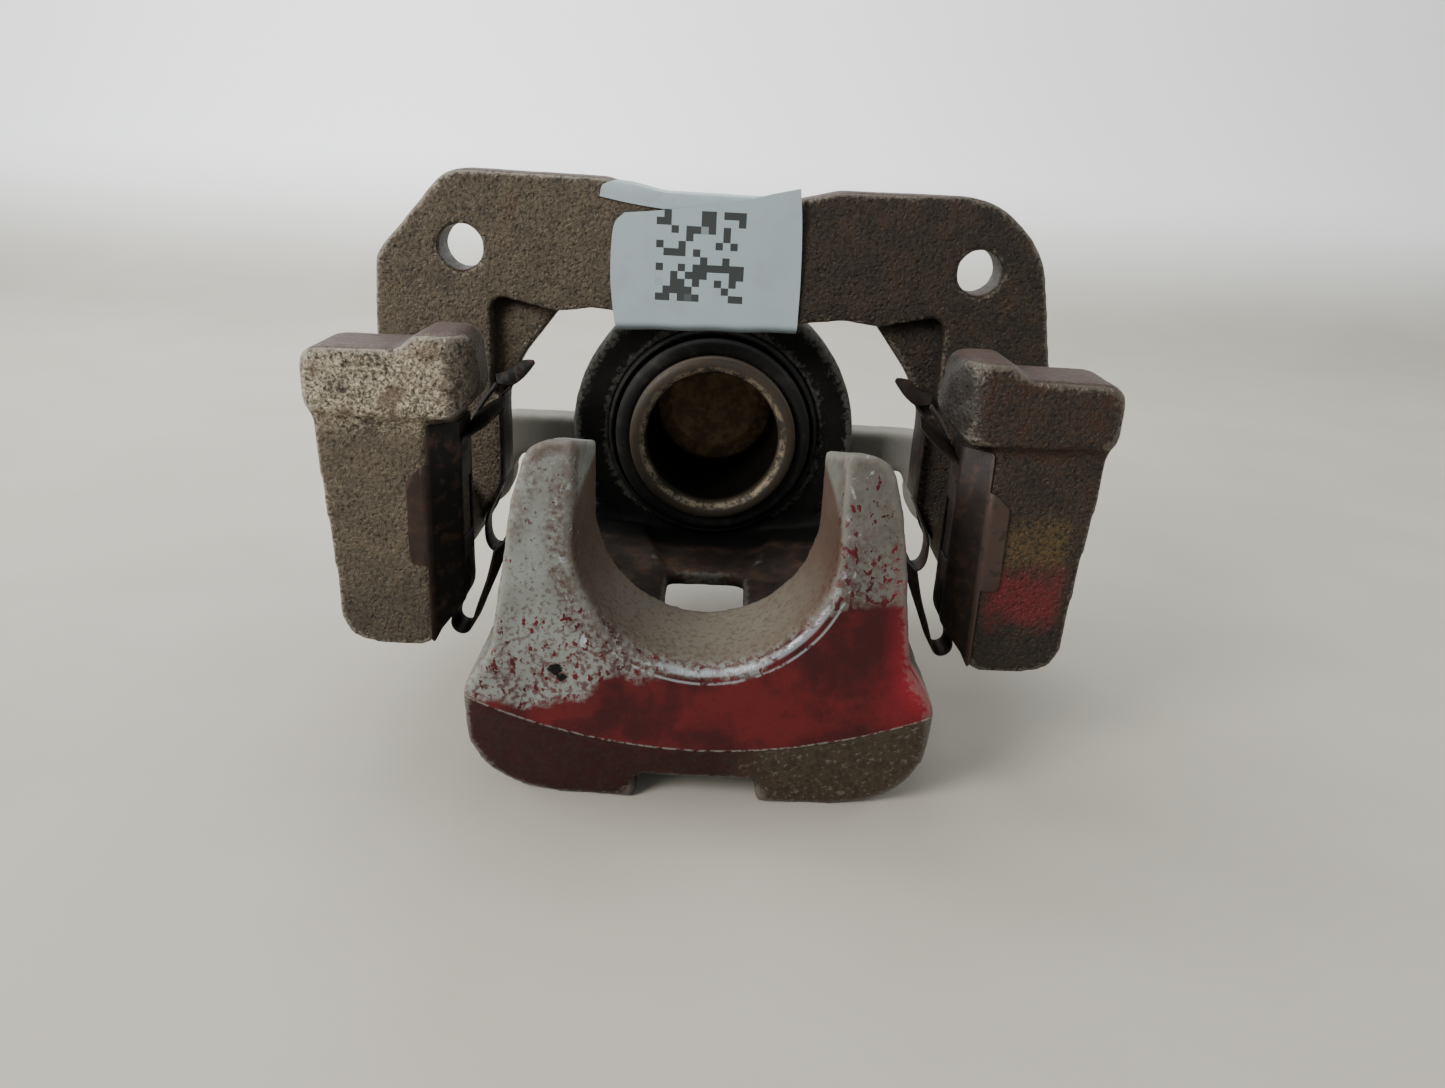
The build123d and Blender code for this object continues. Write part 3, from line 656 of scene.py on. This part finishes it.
def addSheet(shape, outline, bends, window, plan, turn):
    # a flat sheet drawn as distance along and height, cut at its bends, then folded along its plan line
    start = len(shape.verts)
    flat = [shape.verts.new((u * mm, 0, z * mm)) for u, z in outline]
    bmesh.ops.triangulate(shape, faces=[shape.faces.new(flat)])
    cuts = [(u + offset, 0) for u in bends for offset in (-turn, -turn / 2, 0, turn / 2, turn)]
    cuts += [(window[0], 0), (window[1], 0), (window[2], 1), (window[3], 1)]
    for place, upright in cuts:
        shape.verts.ensure_lookup_table()
        mine = set(shape.verts[start:])
        faces = [f for f in shape.faces if set(f.verts) <= mine]
        geom = list(mine) + faces + list({e for f in faces for e in f.edges})
        normal = (0, 0, 1) if upright else (1, 0, 0)
        point = (0, 0, place * mm) if upright else (place * mm, 0, 0)
        bmesh.ops.bisect_plane(shape, geom=geom, plane_co=point, plane_no=normal, dist=0.001 * mm)
    shape.verts.ensure_lookup_table()
    mine = set(shape.verts[start:])
    opened = []
    for face in shape.faces:
        middle = face.calc_center_median() / mm
        inside = window[0] < middle.x < window[1] and window[2] < middle.z < window[3]
        if inside and set(face.verts) <= mine:
            opened.append(face)
    bmesh.ops.delete(shape, geom=opened, context="FACES")
    shape.verts.ensure_lookup_table()
    for vert in shape.verts[start:]:
        vert.co = foldedPlace(vert.co.x / mm, vert.co.z, plan, bends, turn)
    bmesh.ops.recalc_face_normals(shape, faces=shape.faces)


def foldedPlace(u, z, plan, bends, turn):
    # the plan line's place at a distance along it, with its corners rounded
    def straight(distance):
        passed = 0.0
        for a, b in zip(plan, plan[1:]):
            length = math.dist(a, b)
            if distance <= passed + length or b == plan[-1]:
                t = (distance - passed) / length
                return Vector((a[0] + (b[0] - a[0]) * t, a[1] + (b[1] - a[1]) * t))
            passed += length
    near = any(abs(u - bend) < turn for bend in bends)
    offsets = (-0.5, 0.0, 0.5) if near else (0.0,)
    spot = sum((straight(u + offset * turn) for offset in offsets), Vector((0, 0))) / len(offsets)
    return Vector((spot.x * mm, spot.y * mm, z))


def mirrorShape(shape):
    bmesh.ops.scale(shape, vec=(-1, 1, 1), verts=shape.verts)
    bmesh.ops.reverse_faces(shape, faces=shape.faces)


def castFrom(node, name, look):
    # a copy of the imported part, remeshed so that its edges round over like a sand casting
    mesh = nodes[node].data.copy()
    shape = bmesh.new()
    shape.from_mesh(mesh)
    bmesh.ops.remove_doubles(shape, verts=shape.verts, dist=0.004 * mm)
    shape.to_mesh(mesh)
    shape.free()
    piece = newPiece(name, mesh)
    skin = piece.modifiers.new("skin", "REMESH")
    skin.mode = "VOXEL"
    skin.voxel_size = look["voxel"]
    soften = piece.modifiers.new("soften", "SMOOTH")
    soften.factor = 0.5
    soften.iterations = look["soften"]
    for number, (size, strength) in enumerate(look["lumps"]):
        sand = bpy.data.textures.new(name + "_sand" + str(number), "CLOUDS")
        sand.noise_scale = size
        sand.noise_depth = 2
        lumps = piece.modifiers.new("lumps", "DISPLACE")
        lumps.texture = sand
        lumps.texture_coords = "LOCAL"
        lumps.strength = strength
        lumps.mid_level = 0.5
    applyModifiers(piece)
    markWear(piece.data, look["wearRounds"])
    piece.data.shade_smooth()
    return piece


def markWear(mesh, rounds):
    # how far each point stands above, or below, the average of its surroundings
    count = len(mesh.vertices)
    points = np.zeros(count * 3)
    normals = np.zeros(count * 3)
    pairs = np.zeros(len(mesh.edges) * 2, dtype=np.int32)
    mesh.vertices.foreach_get("co", points)
    mesh.vertices.foreach_get("normal", normals)
    mesh.edges.foreach_get("vertices", pairs)
    points, normals, pairs = points.reshape(-1, 3), normals.reshape(-1, 3), pairs.reshape(-1, 2)
    ends = np.concatenate([pairs[:, 0], pairs[:, 1]])
    others = np.concatenate([pairs[:, 1], pairs[:, 0]])
    degree = np.bincount(ends, minlength=count).clip(1)
    flat = points.copy()
    for _ in range(rounds):
        flat = np.stack([np.bincount(ends, weights=flat[others, k], minlength=count) / degree
                         for k in range(3)], axis=1)
    proud = ((points - flat) * normals).sum(axis=1)
    scale = np.percentile(np.abs(proud), 97)
    for name, values in (("wear", proud / scale), ("hollow", -proud / scale)):
        layer = mesh.attributes.new(name, "FLOAT", "POINT")
        layer.data.foreach_set("value", values.clip(0, 1.2).astype(np.float32))


housingShape = {
    "voxel": 0.95 * mm,
    "soften": 7,
    "lumps": [(1.6 * mm, 0.12 * mm), (9 * mm, 0.5 * mm)],
    "wearRounds": 24,
}
carrierShape = {
    "voxel": 0.8 * mm,
    "soften": 10,
    "lumps": [(1.4 * mm, 0.14 * mm), (11 * mm, 0.25 * mm)],
    "wearRounds": 24,
}

housing = castFrom("caliper_housing", "housing_casting", housingShape)
dress(housing, "housing", "housing", "caliper_housing")
carrier = castFrom("carrier_bracket", "carrier_casting", carrierShape)
dress(carrier, "carrier", "carrier", "carrier_bracket")
print("castings made:", len(housing.data.polygons), len(carrier.data.polygons))


# the piston: a deep cup with a rolled rim and a groove for the boot's lip
pistonShape = {
    "profile": [(0, 46), (13, 46), (16.4, 43), (17, 38), (17, 2.2), (17.5, 0.8), (18.8, 0.05),
                (20.1, 0), (21.1, 0.4), (21.4, 1.2), (21.4, 3), (19.9, 3), (19.9, 6), (21.4, 6),
                (21.4, 48), (19.4, 50), (0, 50)],
    "edge": 0.3,
}


def makePiston():
    profile = [(r * mm, y * mm) for r, y in pistonShape["profile"]]
    shape = lathe(profile, (0, rimY, axisZ), 128)
    sharp = [e for e in shape.edges if e.is_manifold and e.calc_face_angle() > math.radians(25)]
    bmesh.ops.bevel(shape, geom=sharp, offset=pistonShape["edge"] * mm, segments=2, profile=0.5,
                    affect="EDGES", material=-1)
    piece = pieceFrom("piston_turned", shape)
    smoothShade(piece, 30)
    return dress(piece, "piston", "piston", "piston")


# rubber boots: a thin folded wall, lathed from its middle line
bootShape = {
    "wall": 0.9,
    "line": [(20.6, 14.2), (22.4, 12.9), (24.2, 12.9), (24.9, 14.4), (24.4, 16.8), (25.2, 18.4), (26.2, 17.2),
             (26.6, 15.9), (27.0, 17.5), (26.8, 21.8)],
    "stretch": (18.5, 12.5),
}
bellowsShape = {
    "wall": 0.8,
    "line": [(9.3, 12.2), (10.0, 12.6), (10.0, 14.2), (8.3, 15.4), (9.9, 16.8), (8.1, 18.3),
             (9.9, 19.8), (8.1, 21.3), (9.6, 22.7), (7.4, 23.9), (6.6, 25.2)],
    "stretch": (14.5, 24.5),
}


def makeBoot(name, look, x, z, node, steps):
    line = smoothLine([Vector((r * mm, y * mm, 0)) for r, y in look["line"]], 3)
    shape = lathe([(p.x, p.y) for p in line], (x, 0, z), steps)
    piece = pieceFrom(name, shape)
    thicken(piece, look["wall"] * mm)
    applyModifiers(piece)
    piece.data.shade_smooth()
    dress(piece, "boot", None, node)
    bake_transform(piece)


makePiston()
makeBoot("dust_boot_folded", bootShape, 0, axisZ, "dust_boot", 128)
makeBoot("pin_boot_left_folded", bellowsShape, -pinX, pinZ, "pin_boot_left", 64)
makeBoot("pin_boot_right_folded", bellowsShape, pinX, pinZ, "pin_boot_right", 64)
print("piston and boots made")


# the clips: sheet spring steel, drawn for the right side and mirrored for the left
outerClip = {
    "wall": 0.5,
    "plan": [(60.9, -53.1), (57.2, -53.1), (51.3, -47.5), (51.3, -37.6)],
    "bends": [3.7, 11.83],
    "turn": 0.8,
    "outline": [(0, 46.6), (0, 62.4), (0.3, 63.2), (2.6, 65.4), (3.4, 65.9), (4.4, 66.2), (4.4, 73.6),
                (4.9, 74.2), (21.7, 74.2), (21.7, 37.5), (14.5, 36.2), (11.8, 35), (8.5, 32), (6.2, 30),
                (4.7, 27.8), (4.2, 27.4), (3.8, 27.9), (3.7, 45), (1.0, 44.9), (0.3, 45.4)],
    "window": (13.2, 20.5, 48.5, 61),
    "wingFront": [(51.3, -46.5, 66), (51.1, -46.6, 70), (49.2, -46.8, 71.2), (46.4, -46.6, 73.2),
                  (44.0, -46.2, 75.4), (42.4, -45.6, 77.0)],
    "wingBack": [(51.3, -38.5, 66), (51.1, -38.4, 70.6), (49.6, -38.6, 73.6), (46.8, -39.2, 76.0),
                 (44.4, -40.0, 77.6), (42.8, -41.5, 78.4)],
    "tabFront": [(51.2, -36.4, 70), (50.4, -36.4, 72.4), (48.2, -36.3, 76.0), (45.8, -36.2, 79.2)],
    "tabBack": [(51.2, -34.9, 70), (50.6, -34.9, 73.0), (48.6, -34.9, 76.6), (46.2, -34.9, 79.8)],
    "leafFront": [(51.3, -45, 44), (51.2, -45, 36.5), (53.4, -45, 32.2), (54.6, -45, 29.6), (54.7, -45, 27.8),
                  (53.8, -45, 26.5), (52.3, -45, 26.1), (51.0, -45, 27.0), (50.1, -45, 29.2), (48.9, -45, 33),
                  (47.0, -45, 38.4), (45.8, -45, 43), (45.2, -45, 45.6)],
    "leafBack": [(51.3, -38.2, 44), (51.2, -38.2, 36.5), (53.2, -38.2, 32.4), (54.2, -38.2, 29.8),
                 (54.3, -38.2, 28.0), (53.5, -38.2, 26.8), (52.2, -38.2, 26.4), (50.7, -38.2, 27.2),
                 (49.6, -38.2, 29.4), (48.0, -38.2, 33.4), (45.6, -38.2, 39.2), (43.9, -38.2, 44),
                 (43.0, -38.2, 46.8)],
}
innerClip = {
    "wall": 0.5,
    "faceFront": [(51.3, -5.5, 48.4), (51.3, -5.5, 58), (51.3, -5.5, 69), (49.4, -5.5, 71.8),
                  (47.2, -5.5, 74.6)],
    "faceBack": [(51.3, 8.5, 48.4), (51.3, 8.5, 58), (51.3, 8.5, 69), (49.4, 8.5, 71.8), (47.2, 8.5, 74.6)],
    "bladeLow": [(52.0, -5.6, 73.2), (49.6, -5.8, 73.0), (47.8, -5.9, 73.3), (46.4, -5.9, 74.3),
                 (45.1, -5.8, 75.5), (43.6, -5.6, 77.4), (42.8, -5.4, 78.6)],
    "bladeHigh": [(52.4, -4.6, 75.4), (50.2, -4.6, 76.0), (48.9, -4.6, 76.8), (47.6, -4.6, 77.8),
                  (46.4, -4.6, 78.8), (44.6, -4.6, 79.2), (43.2, -4.8, 79.2)],
    "hookFront": [(51.3, -5.5, 48), (53.4, -5.5, 43.5), (55.0, -5.5, 40), (55.6, -5.5, 36.5),
                  (55.3, -5.5, 33), (54.2, -5.5, 31), (52.6, -5.5, 30.6), (51.4, -5.5, 31.8),
                  (51.0, -5.5, 33.6)],
    "hookBack": [(51.3, 1.5, 48), (53.4, 1.5, 43.5), (55.0, 1.5, 40), (55.6, 1.5, 36.5), (55.3, 1.5, 33),
                 (54.2, 1.5, 31), (52.6, 1.5, 30.6), (51.4, 1.5, 31.8), (51.0, 1.5, 33.6)],
}


def finishClip(shape, name, left, wall, node):
    if left:
        mirrorShape(shape)
    piece = pieceFrom(name, shape)
    thicken(piece, wall * mm)
    eased = piece.modifiers.new("eased", "BEVEL")
    eased.width = 0.12 * mm
    eased.segments = 1
    eased.limit_method = "ANGLE"
    eased.angle_limit = math.radians(60)
    applyModifiers(piece)
    smoothShade(piece, 45)
    dress(piece, "clip", "carrier", node)


def makeOuterClip(side):
    look = outerClip
    shape = bmesh.new()
    addSheet(shape, look["outline"], look["bends"], look["window"], look["plan"], look["turn"])
    addRibbon(shape, look["wingFront"], look["wingBack"])
    addRibbon(shape, look["tabFront"], look["tabBack"], across=1)
    addRibbon(shape, look["leafFront"], look["leafBack"])
    finishClip(shape, "outer_clip_" + side, side == "left", look["wall"], "pad_clip_outer_" + side)


def makeInnerClip(side):
    look = innerClip
    shape = bmesh.new()
    addRibbon(shape, look["faceFront"], look["faceBack"])
    addRibbon(shape, look["bladeLow"], look["bladeHigh"], across=1)
    addRibbon(shape, look["hookFront"], look["hookBack"])
    finishClip(shape, "inner_clip_" + side, side == "left", look["wall"], "pad_clip_inner_" + side)


for side in ("left", "right"):
    makeOuterClip(side)
    makeInnerClip(side)
print("clips made")


# the paper label: one strip from its free top edge down the front, under the bar, up the back and over
labelShape = {
    "wall": 0.2,
    "left": [(-22.4, -3.7, 114.0), (-24.9, -3.5, 110.6), (-25.5, -3.1, 100), (-24.7, -3.0, 91),
             (-24.2, -2.6, 88.2), (-24.5, 0.5, 86.9), (-24.8, 6.0, 87.2), (-25.0, 9.6, 90),
             (-24.0, 10.0, 97), (-22.6, 10.0, 112), (-22.0, 9.6, 119.6), (-22.6, 4.0, 120.9),
             (-24.6, -1.6, 120.6), (-27.4, -3.0, 119.4), (-28.2, -3.1, 116.6)],
    "right": [(17.4, -4.4, 121.0), (18.3, -3.9, 112), (18.8, -3.2, 101), (18.8, -3.1, 92),
              (18.8, -2.6, 89.2), (18.6, 0.5, 87.9), (18.4, 6.0, 88.2), (18.2, 9.6, 91),
              (17.8, 10.0, 98), (16.8, 10.0, 110), (16.0, 9.6, 117.4), (15.6, 4.0, 118.8),
              (14.0, -1.6, 118.5), (10.0, -2.9, 116.6), (5.0, -3.0, 114.6)],
    "across": 22,
    "middle": (-3.5, 3.5, 104),
    "halfWidth": 22,
    "sag": 1.1,
    "ripple": 0.18,
    "barTop": [(-60, 121.4), (-27.5, 121.2), (-14, 118.2), (16, 118.0), (27.4, 120.7), (60, 120.9)],
}


def barTop(x):
    # the height of the bar's dipped top edge
    line = labelShape["barTop"]
    for (x0, z0), (x1, z1) in zip(line, line[1:]):
        if x <= x1:
            return z0 + (z1 - z0) * (x - x0) / (x1 - x0)


def makeLabel():
    look = labelShape
    shape = bmesh.new()
    addRibbon(shape, look["left"], look["right"], steps=5, across=look["across"])
    middle = Vector(look["middle"]) * mm
    for vert in shape.verts:
        # the free top edge sags between its corners, and the sheet ripples a little
        across = (vert.co.x - middle.x) / (look["halfWidth"] * mm)
        if vert.co.y < -3.0 * mm and vert.co.z > 108 * mm:
            vert.co.z -= (1 - across * across) * look["sag"] * mm * min(1.0, (vert.co.z / mm - 108) / 6)
        wave = math.sin(vert.co.x / mm * 0.45 + vert.co.z / mm * 0.31) * math.sin(vert.co.z / mm * 0.4 + 1.3)
        away = (vert.co - middle)
        away.x = 0
        vert.co += away.normalized() * (wave * look["ripple"] + look["ripple"]) * mm * 0.6
        # over the bar's dipped top the strip lies on it
        if vert.co.y > -3.3 * mm:
            vert.co.z = min(vert.co.z, (barTop(vert.co.x / mm) + 0.25) * mm)
    piece = pieceFrom("label_strip", shape)
    thicken(piece, look["wall"] * mm)
    applyModifiers(piece)
    smoothShade(piece, 50)
    dress(piece, "label", "carrier", "stock_label")


makeLabel()
print("label made")


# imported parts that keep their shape
keptParts = {
    "piston_seal": "seal",
    "boot_ring": "ring",
    "guide_pin_left": "pin",
    "guide_pin_right": "pin",
    "pin_bush": "seal",
    "pin_bolt_left": "bolt",
    "pin_bolt_right": "bolt",
    "bleeder_screw": "bleeder",
    "bleeder_cap": "cap",
}
for node, finish in keptParts.items():
    for slot in nodes[node].material_slots:
        slot.material = finishes[finish]
print("packed parts dressed")


# where the camera stands, and how it is turned, in degrees
view = {
    "place": (0.7 * mm, -262.2 * mm, 128.7 * mm),
    "down": 20.0,
    "right": 0.7,
    "roll": 3.0,
    "lens": 27.08,
}


def makeCamera():
    down, turn, roll = (math.radians(view[key]) for key in ("down", "right", "roll"))
    ahead = Vector((math.sin(turn), math.cos(turn), 0))
    across = Vector((math.cos(turn), -math.sin(turn), 0))
    forward = ahead * math.cos(down) - Vector((0, 0, math.sin(down)))
    upward = Vector((0, 0, math.cos(down))) + ahead * math.sin(down)
    right = across * math.cos(roll) + upward * math.sin(roll)
    top = upward * math.cos(roll) - across * math.sin(roll)
    eye = bpy.data.cameras.new("eye")
    eye.lens = view["lens"]
    eye.sensor_width = 36.0
    eye.clip_start = 0.01
    camera = bpy.data.objects.new("eye", eye)
    bpy.context.scene.collection.objects.link(camera)
    turned = Matrix((right, top, -forward)).transposed()
    camera.matrix_world = Matrix.Translation(view["place"]) @ turned.to_4x4()
    bpy.context.scene.camera = camera


lamps = {
    # name: place, what it points at, size, power, colour
    "overhead": ((-0.1, 0.25, 0.75), (0, 0, 0.06), 0.5, 2.6, (1.0, 0.99, 0.97)),
    "frontLeft": ((-0.6, -0.6, 0.5), (0, 0, 0.06), 0.35, 11.0, (1.0, 0.99, 0.96)),
    "left": ((-0.9, 0.1, 0.4), (0, 0, 0.06), 0.5, 4.5, (0.96, 0.98, 1.0)),
    "right": ((0.8, 0.1, 0.5), (0, 0, 0.06), 0.5, 2.8, (1.0, 0.98, 0.95)),
    "wall": ((-0.35, 0.3, 0.6), (-0.1, 0.8, 0.2), 0.5, 4.5, (0.97, 1.0, 1.0)),
}


def makeLights():
    for name, (place, target, size, power, colour) in lamps.items():
        lamp = bpy.data.lights.new(name, "AREA")
        lamp.size = size
        lamp.energy = power
        lamp.color = colour
        holder = bpy.data.objects.new(name, lamp)
        bpy.context.scene.collection.objects.link(holder)
        aim = Vector(target) - Vector(place)
        holder.matrix_world = Matrix.Translation(place) @ aim.to_track_quat("-Z", "Y").to_matrix().to_4x4()
    world = bpy.data.worlds.new("studio")
    world.use_nodes = True
    world.node_tree.nodes["Background"].inputs["Color"].default_value = (0.88, 0.95, 0.96, 1)
    world.node_tree.nodes["Background"].inputs["Strength"].default_value = 0.6
    bpy.context.scene.world = world


floorLook = {
    "near": -1.2,
    "bend": 0.55,
    "radius": 0.25,
    "far": 1.2,
    "half": 3.0,
    "floor": tint(158, 151, 140),
    "floorPale": tint(172, 167, 157),
    "wall": tint(250, 252, 251),
}


def makeFloor():
    # a sheet that runs back along the floor and curves up behind
    shape = bmesh.new()
    line = [(floorLook["near"], 0.0), (floorLook["bend"], 0.0)]
    for step in range(1, 13):
        a = math.radians(90 * step / 12)
        line.append((floorLook["bend"] + floorLook["radius"] * math.sin(a),
                     floorLook["radius"] * (1 - math.cos(a))))
    line.append((floorLook["bend"] + floorLook["radius"], floorLook["far"]))
    points = [shape.verts.new((-floorLook["half"], y, z)) for y, z in line]
    edges = [shape.edges.new(pair) for pair in zip(points, points[1:])]
    grown = bmesh.ops.extrude_edge_only(shape, edges=edges)
    moved = [v for v in grown["geom"] if isinstance(v, bmesh.types.BMVert)]
    bmesh.ops.translate(shape, verts=moved, vec=(2 * floorLook["half"], 0, 0))
    bmesh.ops.recalc_face_normals(shape, faces=shape.faces)
    floor = pieceFrom("floor", shape)
    floor.data.shade_smooth()
    m = Finish("pale_floor")
    floorColour = m.mix(m.noise(60 * mm, 4, 0.5), floorLook["floor"], floorLook["floorPale"])
    colour = m.mix(m.fade(m.z, 0.0, 120 * mm), floorColour, floorLook["wall"])
    floor.data.materials.append(m.setUp(colour, 0.7, 0.0, m.noise(2 * mm, 4), 0.05 * mm, 0.3))


makeCamera()
makeLights()
makeFloor()
print("camera, lights and floor made")
